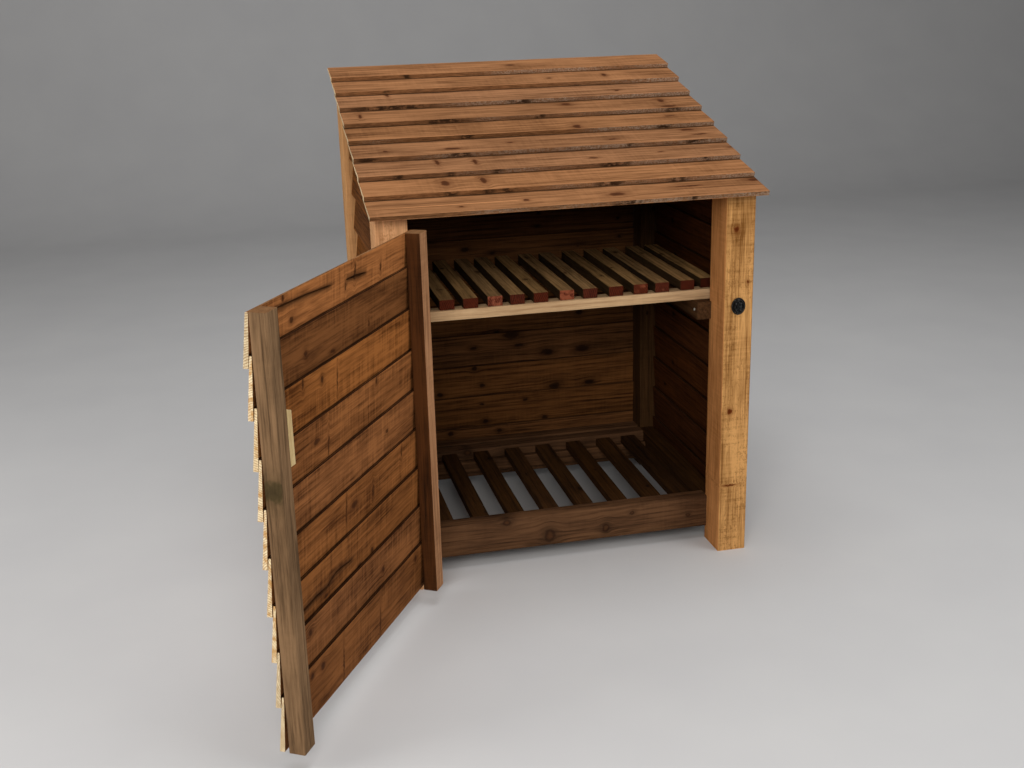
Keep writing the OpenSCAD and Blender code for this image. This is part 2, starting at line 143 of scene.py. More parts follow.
class Look:
    """A material and short ways to add its nodes."""

    def __init__(self, name):
        self.material = bpy.data.materials.new(name)
        self.material.use_nodes = True
        self.tree = self.material.node_tree
        self.tree.nodes.clear()
        self.shader = self.add("ShaderNodeBsdfPrincipled")
        output = self.add("ShaderNodeOutputMaterial")
        self.tree.links.new(self.shader.outputs[0], output.inputs["Surface"])

    def add(self, kind, inputs=None, **settings):
        node = self.tree.nodes.new(kind)
        for key, value in settings.items():
            setattr(node, key, value)
        for key, value in (inputs or {}).items():
            self.put(node.inputs[key], value)
        return node

    def put(self, socket, value):
        if isinstance(value, bpy.types.NodeSocket):
            self.tree.links.new(value, socket)
        else:
            socket.default_value = value

    def set(self, **values):
        for key, value in values.items():
            self.put(self.shader.inputs[key.replace("_", " ")], value)

    def math(self, op, a, b=0.0, c=0.0):
        return self.add("ShaderNodeMath", {0: a, 1: b, 2: c}, operation=op).outputs[0]

    def vector(self, op, a, b=(0.0, 0.0, 0.0)):
        return self.add("ShaderNodeVectorMath", {0: a, 1: b}, operation=op).outputs[0]

    def scaled(self, a, scale):
        return self.add("ShaderNodeVectorMath", {0: a, "Scale": scale}, operation="SCALE").outputs[0]

    def parts(self, a):
        return self.add("ShaderNodeSeparateXYZ", {0: a}).outputs

    def stored(self, name, output="Fac"):
        return self.add("ShaderNodeAttribute", attribute_name=name).outputs[output]

    def noise(self, place, stretch, detail=2.0, rough=0.5):
        scaled = self.vector("MULTIPLY", place, stretch)
        inputs = {"Vector": scaled, "Scale": 1.0, "Detail": detail, "Roughness": rough}
        return self.add("ShaderNodeTexNoise", inputs).outputs

    def span(self, value, low, high):
        """A smooth step from 0 at low to 1 at high."""
        inputs = {0: value, 1: low, 2: high, 3: 0.0, 4: 1.0}
        return self.add("ShaderNodeMapRange", inputs, interpolation_type="SMOOTHSTEP").outputs[0]

    def total(self, base, *terms):
        """The base plus weight times (value - middle) for each term of value, weight and middle."""
        result = base - sum(weight * middle for _, weight, middle in terms)
        for value, weight, _ in terms:
            result = self.math("MULTIPLY_ADD", value, weight, result)
        return result

    def ramp(self, value, stops):
        node = self.add("ShaderNodeValToRGB", {0: value})
        items = node.color_ramp.elements
        while len(items) < len(stops):
            items.new(0.5)
        for item, (place, colour) in zip(items, stops):
            item.position = place
            item.color = colour if isinstance(colour, tuple) else (colour, colour, colour, 1.0)
        return node.outputs[0]

    def mix(self, share, a, b):
        node = self.add("ShaderNodeMix", data_type="RGBA")
        self.put(node.inputs[0], share)
        self.put(node.inputs[6], a)
        self.put(node.inputs[7], b)
        return node.outputs[2]

    def cover(self, colour, share, amount, over):
        """The colour with another laid over it by a share times an amount."""
        return self.mix(self.math("MULTIPLY", share, amount), colour, over)

    def bump(self, height, strength, distance=0.001):
        node = self.add("ShaderNodeBump", {"Height": height, "Strength": strength, "Distance": distance})
        self.put(self.shader.inputs["Normal"], node.outputs[0])

    def timber_place(self):
        """The place in the timber, and the same place moved by the timber's own seed."""
        place = self.stored("wco", "Vector")
        return place, self.vector("ADD", place, self.scaled((17.3, 9.1, 5.7), self.stored("seed")))

    def toned(self, colour, tone, depth):
        """The colour made lighter or darker by a tone, and a little richer or duller by the seed."""
        turn = self.math("SINE", self.math("MULTIPLY", self.stored("seed"), 37.0))
        inputs = {"Color": colour, "Saturation": self.total(1.0, (turn, 0.02, 0.0)),
                  "Value": self.total(1.0, (tone, depth, 0.0))}
        return self.add("ShaderNodeHueSaturation", inputs).outputs[0]

    def from_spot(self, name, u, v):
        """Squared distance to a stored spot, in its half lengths, and the way from it across the timber."""
        spot = self.add("ShaderNodeAttribute", attribute_name=name)
        spot_u, spot_v, reach_u = self.parts(spot.outputs["Vector"])
        along = self.math("DIVIDE", self.math("SUBTRACT", u, spot_u), reach_u)
        off = self.math("SUBTRACT", v, spot_v)
        across = self.math("DIVIDE", off, spot.outputs["Alpha"])
        return self.math("MULTIPLY_ADD", along, along, self.math("MULTIPLY", across, across)), off

    def knots(self, place, moved):
        """Squared distance to the nearest knot, and the moved place with the grain parted round it."""
        shake = self.noise(moved, (60.0, 110.0, 110.0), 3.0)[1]
        shake = self.scaled(self.vector("SUBTRACT", shake, (0.5, 0.5, 0.5)), 0.011)
        u, v, _ = self.parts(self.vector("ADD", place, shake))
        near, part = 99.0, 0.0
        for i in range(KNOTS):
            square, off = self.from_spot(f"knot{i}", u, v)
            pull = self.math("EXPONENT", self.math("MULTIPLY", square, -0.2))
            part = self.math("MULTIPLY_ADD", self.math("MULTIPLY", off, pull), -0.8, part)
            near = self.math("MINIMUM", square, near)
        return near, self.vector("ADD", moved, self.add("ShaderNodeCombineXYZ", {1: part}).outputs[0])


def wood(name, light, dark, knot, ring=0.25, streak=0.5, blotch=0.4, saw=0.3, pitch=150.0, lines=70.0,
         depth=0.3, vein=0.3, eye=0.75, heart=None, lap_shade=0.0, under=0.0, reach=0.022, lip_wear_and_highlight=0.45,
         fleck=0.0, fleck_colour=None):
    """Sawn timber: growth rings and veins that part round the knots, stain patches and cross saw marks.

    On lapped boards, the lap amount paints shade along the seam of the inner face, the under amount paints
    shadow on the outer face below the next board's lip as far as reach, and the lip amount makes the
    board's own lower edge pale, partly as wear and partly as a painted highlight.
    """
    k = Look(name)
    place, moved = k.timber_place()
    along, across, _ = k.parts(place)
    near, flow = k.knots(place, moved)
    _, v, w = k.parts(flow)
    drift = k.noise(moved, (0.9, 7.0, 7.0), 1.0)[0]
    inward = k.math("MULTIPLY_ADD", w, 0.6, v)
    count = k.math("MULTIPLY_ADD", inward, lines, k.math("MULTIPLY", drift, 6.0))
    year = k.ramp(k.math("FRACT", count), [(0.0, 0.0), (0.5, 0.2), (0.85, 1.0), (1.0, 0.0)])
    bands = k.noise(flow, (3.0, 90.0, 90.0), 3.0, 0.6)[0]
    fibre = k.noise(flow, (14.0, 230.0, 230.0), 3.0, 0.65)[0]
    veins = k.span(k.noise(flow, (1.6, 150.0, 150.0), 2.0)[0], 0.56, 0.7)
    patch = k.noise(moved, (5.0, 18.0, 18.0), 3.0, 0.55)[0]
    cross = k.noise(moved, (pitch, 9.0, 9.0), 2.0, 0.6)[0]
    worked = k.span(k.noise(moved, (7.0, 10.0, 10.0), 1.0)[0], 0.34, 0.58)
    marks = k.math("MULTIPLY", k.math("SUBTRACT", cross, 0.5), worked)
    share = k.total(0.42, (year, ring, 0.35), (bands, 1.8 * streak, 0.5), (fibre, 1.4, 0.5),
                    (veins, vein, 0.2), (patch, 2.0 * blotch, 0.5), (marks, 1.8 * saw, 0.0))
    colour = k.mix(share, linear(light), linear(dark))
    stripe, _ = k.from_spot("pale", along, across)
    colour = k.cover(colour, k.span(stripe, 1.4, 0.3), 0.8, shade(light, 1.3))
    colour = k.toned(colour, k.stored("tone"), depth)
    halo = k.math("EXPONENT", k.math("MULTIPLY", near, -0.3))
    colour = k.cover(colour, halo, 0.7, between(dark, knot, 0.5))
    heart = heart or [0.75 * c for c in knot]
    eye_stops = [(0.0, linear(heart)), (0.25, between(heart, knot, 0.6)), (0.6, linear(knot))]
    core = k.span(near, 1.5, 0.5)
    colour = k.cover(colour, core, eye, k.ramp(k.math("MULTIPLY", near, 0.5), eye_stops))
    if fleck:
        dots = k.noise(moved, (120.0, 210.0, 210.0), 3.0, 0.7)[0]
        spread = k.span(k.noise(moved, (8.0, 24.0, 24.0), 2.0)[0], 0.36, 0.58)
        specks = k.span(k.total(0.5, (dots, 0.8, 0.5), (cross, 0.3, 0.5)), 0.5, 0.62)
        colour = k.cover(colour, k.math("MULTIPLY", specks, spread), fleck, linear(fleck_colour))
    # Painted shade: a dark line along the seam where the board above laps over the inner face.
    if lap_shade:
        gap = k.math("ABSOLUTE", k.math("SUBTRACT", across, k.stored("lap_shade")))
        width = k.total(0.0026, (k.noise(moved, (9.0, 1.0, 1.0), 2.0)[0], 0.007, 0.5))
        seam_shade = k.span(k.math("DIVIDE", gap, width), 1.3, 0.2)
        colour = k.cover(colour, seam_shade, lap_shade, shade(dark, 0.25))
    # Painted shadow on the outer face, just under the lip of the board above.
    if under:
        gap = k.math("SUBTRACT", k.stored("under"), across)
        width = k.total(reach, (k.noise(moved, (12.0, 1.0, 1.0), 2.0)[0], 1.4 * reach, 0.5))
        stain_and_lip_shadow = k.span(k.math("DIVIDE", gap, width), 1.0, 0.2)
        colour = k.cover(colour, stain_and_lip_shadow, under, shade(dark, 0.4))
        # The board's own lower edge made pale: partly wear, partly a painted highlight.
        wear_and_highlight = k.math("MULTIPLY", k.span(across, 0.006, 0.001), k.span(fibre, 0.3, 0.6))
        colour = k.cover(colour, wear_and_highlight, lip_wear_and_highlight, shade(light, 1.35))
    # Painted shade darkens the open cracks, and bark left on the lower edges darkens those edges.
    colour = k.mix(k.stored("crack_shade_and_bark"), colour, shade(dark, 0.25))
    height = k.total(0.5, (fibre, 0.5, 0.5), (bands, 0.5, 0.5), (marks, 1.6 * saw, 0.0),
                     (veins, -0.3, 0.2), (core, 0.3, 0.0))
    k.bump(height, 0.5)
    k.set(Base_Color=colour, Roughness=k.total(0.82, (fibre, 0.3, 0.5)), Specular_IOR_Level=WOOD_GLOSS)
    return k.material


def end_grain(name, light, dark, bloom, contrast=0.6, depth=0.2):
    """A cut end: arcs of the growth rings, saw marks and stains; a high cap value brings the bloom out."""
    k = Look(name)
    place, moved = k.timber_place()
    _, v, w = k.parts(place)
    turn = k.math("SINE", k.math("MULTIPLY", k.stored("seed"), 91.0))
    across = k.math("SUBTRACT", v, k.math("MULTIPLY_ADD", turn, 0.2, 0.06))
    inward = k.math("ADD", w, 0.05)
    reach = k.math("SQRT", k.math("MULTIPLY_ADD", across, across, k.math("MULTIPLY", inward, inward)))
    wave = k.math("MULTIPLY", k.noise(moved, (8.0, 40.0, 40.0))[0], 1.6)
    year = k.ramp(k.math("FRACT", k.math("MULTIPLY_ADD", reach, END_RINGS, wave)),
                  [(0.0, 0.05), (0.45, 0.15), (0.8, 1.0), (1.0, 0.1)])
    grain = k.noise(moved, (300.0, 400.0, 400.0), 3.0, 0.65)[0]
    stain_and_lip_shadow = k.noise(moved, (20.0, 70.0, 90.0), 3.0)[0]
    cap = k.stored("cap")
    share = k.total(0.4, (year, contrast, 0.4), (grain, 0.9, 0.5), (stain_and_lip_shadow, 0.9, 0.5))
    colour = k.mix(share, linear(light), linear(dark))
    out = k.span(k.math("MULTIPLY_ADD", stain_and_lip_shadow, 4.0, cap), 2.6, 3.7)
    colour = k.cover(colour, out, 0.75, linear(bloom))
    k.bump(k.total(0.5, (grain, 1.0, 0.5), (year, 0.4, 0.5)), 0.6)
    k.set(Base_Color=k.toned(colour, cap, depth), Roughness=k.total(0.9, (grain, 0.2, 0.5)),
          Specular_IOR_Level=WOOD_GLOSS)
    return k.material


def rough_edge(name, light, dark, grey, share_grey):
    """A rough sawn board edge: brown at one end, torn grey fibres towards the other, bark in places."""
    k = Look(name)
    place, moved = k.timber_place()
    strands = k.noise(moved, (40.0, 420.0, 420.0), 3.0, 0.7)[0]
    torn = k.noise(moved, (210.0, 260.0, 260.0), 3.0, 0.75)[0]
    drift = k.noise(moved, (3.2, 6.0, 6.0), 2.0)[0]
    zone = k.total(0.5, (drift, 1.0, 0.5), (k.parts(place)[0], 0.35, 0.5))
    colour = k.mix(k.span(strands, 0.3, 0.7), linear(light), linear(dark))
    fuzz = k.math("MULTIPLY", k.span(zone, 0.42, 0.7), k.span(torn, 0.35, 0.65))
    colour = k.cover(colour, fuzz, share_grey, linear(grey))
    crust = k.span(k.noise(moved, (60.0, 90.0, 90.0), 3.0, 0.6)[0], 0.36, 0.56)
    colour = k.cover(colour, k.stored("crack_shade_and_bark"), crust, shade(dark, 0.6))
    k.bump(k.total(0.5, (torn, 1.0, 0.5), (strands, 0.6, 0.5)), 0.9)
    k.set(Base_Color=k.toned(colour, k.stored("tone"), 0.15), Roughness=k.total(0.9, (torn, 0.2, 0.5)),
          Specular_IOR_Level=WOOD_GLOSS)
    return k.material


def metal(name, base, wear_and_highlight, rough, metallic=0.0, share=0.5, size=60.0, gloss=0.35):
    """Painted or plated metal with a fine skin and rubbed places."""
    k = Look(name)
    place = k.add("ShaderNodeTexCoord").outputs["Object"]
    skin = k.noise(place, (900.0, 900.0, 900.0), 3.0, 0.6)[0]
    rub = k.span(k.noise(place, (size, size, size), 2.0, 0.6)[0], 0.54, 0.66)
    k.bump(skin, 0.25, 0.0006)
    k.set(Base_Color=k.cover(linear(base), rub, share, linear(wear_and_highlight)),
          Roughness=k.total(rough, (rub, 0.2, 0.0)), Metallic=metallic, Specular_IOR_Level=gloss)
    return k.material


# In the wood looks, the lap, under and lip amounts set painted shade along the laps, painted shadow below
# each lip and a pale lower edge that is partly wear and partly painted highlight.
LOOKS = {
    "roof": wood("roof_wood", (160, 112, 75), (92, 58, 33), (76, 37, 15), ring=0.2, streak=0.8, blotch=0.6,
                 saw=0.25, lines=55.0, depth=0.07, eye=0.8, under=0.7, reach=0.008, lip_wear_and_highlight=0.25),
    "roof_edge": rough_edge("roof_edge", (142, 99, 65), (94, 62, 38), (172, 152, 132), 0.7),
    "post": wood("post_wood", (210, 157, 96), (120, 77, 34), (108, 48, 15), ring=0.15, streak=0.6,
                 blotch=1.0, pitch=170.0, lines=60.0, eye=1.0, fleck=0.5, fleck_colour=(112, 72, 32)),
    "post_pale": wood("post_pale_wood", (232, 178, 130), (160, 114, 76), (110, 60, 28), ring=0.1,
                      streak=0.35, blotch=0.8, vein=0.1, lines=60.0, fleck=0.5,
                      fleck_colour=(160, 106, 58)),
    "post_side": wood("post_side_wood", (222, 156, 95), (146, 91, 45), (100, 48, 18), ring=0.1,
                      streak=0.4, vein=0.1, lines=60.0),
    "post_plain": wood("post_plain_wood", (208, 154, 100), (146, 104, 62), (90, 50, 22), saw=0.2,
                       lines=60.0),
    # Painted shade: a dark copy of the post wood for the back posts' faces inside the store.
    "post_inner_shade": wood("post_inner_shade_wood", (80, 54, 30), (44, 28, 14), (38, 21, 10), blotch=0.5, lines=60.0),
    "side": wood("side_wood", (122, 72, 28), (64, 35, 11), (46, 22, 10), ring=0.3, streak=0.8, blotch=0.5,
                 saw=0.2, under=0.8),
    # Painted shade: a darker copy of the side wood for the walls' inner faces, as the inside of the store
    # is in shade.
    "side_inner_shade": wood("side_inner_shade_wood", (86, 48, 20), (42, 20, 8), (26, 12, 5), streak=0.7, blotch=0.5,
                       lap_shade=0.7),
    "back": wood("back_wood", (114, 73, 39), (48, 27, 12), (24, 11, 5), ring=0.3, streak=0.9, blotch=0.55,
                 saw=0.2, vein=0.35, eye=0.65, lap_shade=0.45),
    "wall_edge": rough_edge("wall_edge", (66, 42, 22), (40, 24, 12), (80, 60, 42), 0.3),
    "door": wood("door_wood", (161, 102, 55), (80, 44, 18), (60, 30, 12), ring=0.15, streak=0.65,
                 blotch=0.85, saw=0.65, pitch=130.0, lines=60.0, depth=1.0, vein=0.2, eye=0.6, lap_shade=0.85),
    "door_outer": wood("door_outer_wood", (160, 99, 50), (84, 46, 19), (60, 30, 12), streak=0.7,
                       blotch=0.6, depth=0.4, under=0.8),
    "door_edge": rough_edge("door_edge", (140, 94, 54), (92, 58, 30), (176, 156, 126), 0.35),
    # Painted shade: a dark look for the door boards' top edges, standing for the gap under the board above.
    "seam_shade": rough_edge("door_seam_shade", (58, 32, 14), (36, 19, 8), (80, 52, 30), 0.3),
    "batten": wood("batten_wood", (140, 109, 78), (78, 58, 39), (74, 63, 38), ring=0.3, streak=0.9,
                   blotch=0.7, saw=0.1, lines=40.0, vein=0.4),
    # The hinge batten's dark wood is partly stain and partly painted shade; its one lighter face is a lit
    # copy: painted light.
    "hinge_batten": wood("hinge_batten_wood", (82, 46, 19), (40, 21, 8), (34, 17, 8), streak=0.9,
                         blotch=0.7),
    "hinge_batten_lit_face": wood("hinge_batten_lit_face_wood", (184, 134, 95), (117, 80, 51), (70, 40, 22),
                              streak=0.7),
    "rail": wood("rail_wood", (100, 70, 47), (50, 32, 20), (28, 16, 9), streak=0.7, blotch=0.8, saw=0.2,
                 heart=(76, 47, 27)),
    "rail_dark": wood("rail_dark_wood", (90, 61, 36), (48, 31, 17), (36, 20, 10), streak=0.7, blotch=0.5,
                      saw=0.2),
    "floor": wood("floor_wood", (67, 42, 19), (31, 18, 8), (28, 15, 7), ring=0.3, streak=0.8, blotch=0.5,
                  saw=0.2),
    "shelf": wood("shelf_wood", (176, 138, 90), (86, 64, 38), (66, 44, 24), ring=0.3, streak=0.8,
                  blotch=0.6),
    # Painted shade: a dark copy of the shelf wood for the slats' sides, which lie in the shade of the gaps.
    "shelf_side_shade": wood("shelf_side_shade_wood", (66, 48, 29), (32, 22, 12), (40, 24, 12), streak=0.8, blotch=0.6),
    "shelf_rail": wood("shelf_rail_wood", (206, 172, 132), (152, 118, 84), (110, 76, 46), streak=0.6,
                       saw=0.1),
    "block": wood("block_wood", (220, 196, 146), (172, 140, 90), (140, 100, 60), ring=0.4, saw=0.2,
                  lines=140.0),
    "pale_end": end_grain("pale_end", (240, 220, 180), (150, 108, 62), (186, 136, 72)),
    "brown_end": end_grain("brown_end", (134, 96, 62), (80, 52, 30), (150, 112, 76)),
    "red_end": end_grain("red_end", (90, 38, 22), (26, 10, 6), (142, 78, 53), contrast=0.9, depth=0.12),
    "iron": metal("black_iron", (11, 11, 13), (44, 43, 42), 0.35),
    "catch_iron": metal("catch_iron", (3, 3, 4), (130, 130, 130), 0.3, share=0.2, size=170.0, gloss=0.2),
    "zinc": metal("bright_zinc", (206, 202, 192), (150, 144, 132), 0.3, 1.0),
}


# Timber

# A board's section starts at its lower edge; its inner face is the fifth side
LOWER_EDGE, INNER_FACE = 0, 4
BOARD_SLOTS = {0: 2, 1: 0, 2: 2, 3: 0, 4: 0}
WALL_SLOTS = {0: 2, 1: 0, 2: 2, 3: 3, 4: 3}
# On the door the boards' top edges take the dark seam look: painted shade.
DOOR_SLOTS = {0: 2, 1: 0, 2: 4, 3: 3, 4: 3}

# Cells of the unevenness, along and across a timber, in millimetres
SWELL, RIPPLE, TEAR = np.array([90.0, 40.0, 40.0]), np.array([16.0, 9.0, 9.0]), np.array([4.5, 3.0, 3.0])
SEED_TURN = 0.618034
SHARP = math.radians(38)


def outline(points, radius, step, arcs=3):
    """Closed outline with rounded corners and edges cut into short steps, and each step's edge number."""
    points = np.array(points, float)
    n = len(points)
    path, tags = [], []
    for i in range(n):
        before, here, after = points[i - 1], points[i], points[(i + 1) % n]
        r = min(radius, 0.45 * np.linalg.norm(before - here), 0.45 * np.linalg.norm(after - here))
        a = here + (before - here) / np.linalg.norm(before - here) * r
        b = here + (after - here) / np.linalg.norm(after - here) * r
        for j in range(arcs + 1):
            t = j / arcs
            path.append((1 - t) ** 2 * a + 2 * t * (1 - t) * here + t * t * b)
            tags.append(i if t >= 0.5 else (i - 1) % n)
    fine, fine_tags = [], []
    for i, p in enumerate(path):
        q = path[(i + 1) % len(path)]
        parts = max(1, math.ceil(np.linalg.norm(q - p) / step))
        for j in range(parts):
            fine.append(p + (q - p) * j / parts)
            fine_tags.append(tags[i])
    fine = np.array(fine)
    turn = np.roll(fine, -1, 0) - np.roll(fine, 1, 0)
    area = np.sum(fine[:, 0] * np.roll(fine[:, 1], -1) - np.roll(fine[:, 0], -1) * fine[:, 1])
    normal = np.stack([turn[:, 1], -turn[:, 0]], 1) * (1 if area > 0 else -1)
    normal /= np.maximum(np.linalg.norm(normal, axis=1), 1e-9)[:, None]
    return fine, np.array(fine_tags), normal


def furrow(u, v, w, tags, section, crack):
    """Opens a crack in a board's inner face: its lips follow the crack and its middle sinks in."""
    run = np.where(tags == INNER_FACE)[0]
    run = run[run > len(tags) // 2]
    path = np.array(crack, float).T
    seat, lean = section[4][0], section[0][1]
    flat = v[0].copy()
    first, last = flat[run[0]], flat[run[-1]]
    middle = run[np.argmin(abs(flat[run] - path[1].mean()))]
    place, half, deep = (np.interp(u[:, middle], path[0], row) for row in path[1:])
    for i in run:
        if i < middle:
            v[:, i] = first + (flat[i] - first) / (flat[middle - 1] - first) * (place + half - first)
        elif i > middle:
            v[:, i] = last + (flat[i] - last) / (flat[middle + 1] - last) * (place - half - last)
        else:
            v[:, i] = place
        w[:, i] = lean * (1 - v[:, i] / seat)
    w[:, middle] += deep
    # Painted shade: the crack's middle and its lips are marked to be darkened.
    crack_shade_and_bark = np.zeros_like(v)
    crack_shade_and_bark[:, middle] = np.minimum(0.9, deep / 3)
    crack_shade_and_bark[:, middle - 1] = crack_shade_and_bark[:, middle + 1] = 0.75 * crack_shade_and_bark[:, middle]
    return crack_shade_and_bark


class Piece:
    """One object made of one or more timbers, which stands for a CAD node."""

    def __init__(self, node, body, slot, looks):
        self.node, self.body, self.slot, self.looks = node, body, slot, looks
        self.points, self.faces, self.slots, self.caps, self.place = [], [], [], [], []
        self.single = {"seed": [], "tone": [], "crack_shade_and_bark": [], "lap_shade": [], "under": []}
        self.spots = [[] for _ in range(KNOTS + 1)]
        self.count = 0

    def timber(self, section, length, origin, axes, seed, tone=0.0, knots=(), radius=1.5, step=9.0,
               long_step=14.0, uneven=0.25, slot_of=None, cut=None, ends=(0.0, 0.0), crack=(), bark=(),
               ragged=0.0, cap=0.0, pale=FAR_SPOT, lap_shade=-FAR, under=FAR):
        """Adds a timber: its section lies in its own v and w, and it runs along its own u."""
        loop, tags, normal = outline(section, radius, step)
        m = len(loop)
        reach = length(loop) if callable(length) else np.full(m, float(length))
        rows = max(2, math.ceil(reach.max() / long_step) + 1)
        t = np.linspace(0, 1, rows)
        u = ends[0] + t[:, None] * (reach[None, :] - ends[0] - ends[1])
        v = np.repeat(loop[None, :, 0], rows, 0)
        w = np.repeat(loop[None, :, 1], rows, 0)
        # Marks to darken: painted shade in a crack, and bark left on the lower edge.
        crack_shade_and_bark = furrow(u, v, w, tags, section, crack) if crack else np.zeros_like(v)
        edge = tags[None, :] == LOWER_EDGE
        for middle, half in bark:
            crack_shade_and_bark = np.maximum(crack_shade_and_bark, edge * np.exp(-((u - middle) / half) ** 4))
        place = np.stack([u, v, w], 2).reshape(-1, 3)
        drift = value_noise(place / SWELL, seed) * 0.7
        drift += value_noise(place / RIPPLE, seed + 7) * 0.3
        amount = uneven * (drift - 1)
        torn = value_noise(place / TEAR, seed + 11) - 1
        amount += ragged * torn * np.repeat(edge, rows, 0).ravel()
        local = place.copy()
        local[:, 1:] += np.repeat(normal[None], rows, 0).reshape(-1, 2) * amount[:, None]
        faces, slots = [], []
        for j in range(rows - 1):
            for i in range(m):
                k = (i + 1) % m
                faces.append((j * m + i, j * m + k, (j + 1) * m + k, (j + 1) * m + i))
                slots.append(slot_of[tags[i]] if slot_of else 0)
        faces += [tuple(range(m))[::-1], tuple(range((rows - 1) * m, rows * m))]
        slots += [1, 1]
        mesh = bmesh.new()
        place_layer = mesh.verts.layers.float_vector.new("wco")
        crack_shade_and_bark_layer = mesh.verts.layers.float.new("crack_shade_and_bark")
        made = [mesh.verts.new(p) for p in local]
        for vert, p, d in zip(made, place, crack_shade_and_bark.ravel()):
            vert[place_layer] = Vector(p) * MM
            vert[crack_shade_and_bark_layer] = d
        for face, number in zip(faces, slots):
            mesh.faces.new([made[i] for i in face]).material_index = number
        if cut:
            cut(mesh)
        bmesh.ops.recalc_face_normals(mesh, faces=mesh.faces)
        axes = np.array(axes, float)
        if np.linalg.det(axes) < 0:
            bmesh.ops.reverse_faces(mesh, faces=mesh.faces)
        mesh.verts.index_update()
        co = np.array([vert.co for vert in mesh.verts])
        size = len(co)
        self.points.append(to_row(np.array(origin, float) + co @ axes, self.body == "door"))
        self.place.append(np.array([vert[place_layer] for vert in mesh.verts]))
        self.single["crack_shade_and_bark"].append(np.array([vert[crack_shade_and_bark_layer] for vert in mesh.verts]))
        own = {"seed": (seed * SEED_TURN) % 1.0, "tone": tone, "lap_shade": lap_shade * MM, "under": under * MM}
        for key, value in own.items():
            self.single[key].append(np.full(size, value))
        spots = (list(knots) + [FAR_SPOT] * KNOTS)[:KNOTS] + [pale]
        for kept, spot in zip(self.spots, spots):
            kept.append(np.repeat(np.array([spot], float) * MM, size, 0))
        for face in mesh.faces:
            self.faces.append([vert.index + self.count for vert in face.verts])
            self.slots.append(face.material_index)
            self.caps.append(np.array([cap]))
        self.count += size
        mesh.free()

    def build(self):
        name = f"{self.node}_dressed"
        mesh = bpy.data.meshes.new(name)
        mesh.from_pydata(np.concatenate(self.points).tolist(), [], self.faces)
        for look in self.looks:
            mesh.materials.append(LOOKS[look])
        mesh.polygons.foreach_set("material_index", self.slots)
        stored = [("wco", "FLOAT_VECTOR", "POINT", "vector", self.place)]
        stored += [(key, "FLOAT", "POINT", "value", values) for key, values in self.single.items()]
        stored += [("cap", "FLOAT", "FACE", "value", self.caps)]
        names = [f"knot{i}" for i in range(KNOTS)] + ["pale"]
        stored += [(key, "FLOAT_COLOR", "POINT", "color", spots) for key, spots in zip(names, self.spots)]
        for key, kind, domain, field, values in stored:
            data = np.concatenate(values).astype(np.float32).ravel()
            mesh.attributes.new(key, kind, domain).data.foreach_set(field, data)
        add_object(name, mesh, self.body, self.node)


def new_object(name, data):
    item = bpy.data.objects.new(name, data)
    bpy.context.scene.collection.objects.link(item)
    return item


def add_object(name, mesh, body, node=None):
    """Makes an object of a mesh, which rides on a body and may stand for a CAD node."""
    mesh.shade_smooth()
    mesh.set_sharp_from_angle(angle=SHARP)
    piece = new_object(name, mesh)
    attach(piece, body)
    if node:
        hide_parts(node)


def board_lean(step):
    """How far a board's lower edge stands off the plane of the seats."""
    return (BOARD_THICK + BOARD_GAP) * BOARD_W / step - (BOARD_THICK - BOARD_THIN)


def board_section(w, step):
    lean = board_lean(step)
    thin = BOARD_THIN + (BOARD_THICK - BOARD_THIN) * (1 - w / BOARD_W)
    return [[0, lean], [0, lean + BOARD_THICK], [w, thin], [w, 0], [w - BOARD_SEAT, 0]]


def courses(height):
    """The number of boards in a height and their even step."""
    count = round((height - BOARD_TOP_W) / BOARD_STEP) + 1
    return count, (height - BOARD_TOP_W) / (count - 1)


def random_knots(rng, length, width, number):
    """Knots as places along and across the timber and their half lengths along and across it."""
    spots = []
    for _ in range(number):
        r = rng.uniform(3, 7)
        spots.append((rng.uniform(0.04, 0.96) * length, rng.uniform(0.1, 0.9) * width,
                      r * rng.uniform(1.0, 2.2), r * rng.uniform(0.6, 1.0)))
    return spots


def boards(piece, length, count, step, origin, axes, seed, top_w, number=(1, 4), cut=None, notes=None,
           **more):
    """Lapped boards from the lowest up; the notes give a board's own tone, knots, bark or crack."""
    rng = np.random.default_rng(seed)
    for i in range(count):
        width = top_w if i == count - 1 else BOARD_W
        spots = random_knots(rng, length, width, int(rng.integers(*number)))
        own = {"tone": rng.uniform(-1, 1), "knots": spots, "cap": rng.uniform(-1, 1)}
        own.update({"slot_of": BOARD_SLOTS, **more})
        if i > 0:
            own["lap_shade"] = BOARD_W - step
        if i < count - 1:
            own["under"] = step
        own.update((notes or {}).get(i, {}))
        base = np.array(origin, float) + np.array(axes[1], float) * i * step
        trim = (lambda mesh, rise=i * step: cut(mesh, rise)) if cut else None
        piece.timber(board_section(width, step), length, base, axes, seed * 50 + i, radius=1.2,
                     cut=trim, uneven=0.35, ends=rng.uniform(0.2, 1.6, 2), **own)


def roof_cut(mesh, rise):
    """Cuts a side board off along the roof's underside."""
    height = roof_z(POST_D) - ROOF_CLEAR - GROUND_GAP - rise
    geometry = mesh.verts[:] + mesh.edges[:] + mesh.faces[:]
    bmesh.ops.bisect_plane(mesh, geom=geometry, plane_co=(0, height, 0),
                           plane_no=(-math.tan(PITCH), 1, 0), clear_outer=True)
    open_edges = [e for e in mesh.edges if e.is_boundary]
    if open_edges:
        bmesh.ops.contextual_create(mesh, geom=open_edges)


def rect(a, b):
    return [[0, 0], [a, 0], [a, b], [0, b]]


def add_beam(piece, low, high, along, seed, **more):
    """Adds a straight timber between two corners, with its length along one axis."""
    size = np.array(high, float) - np.array(low, float)
    u, v, w = {"x": (0, 2, 1), "y": (1, 0, 2), "z": (2, 0, 1)}[along]
    piece.timber(rect(size[v], size[w]), size[u], low, np.eye(3)[[u, v, w]], seed, **more)


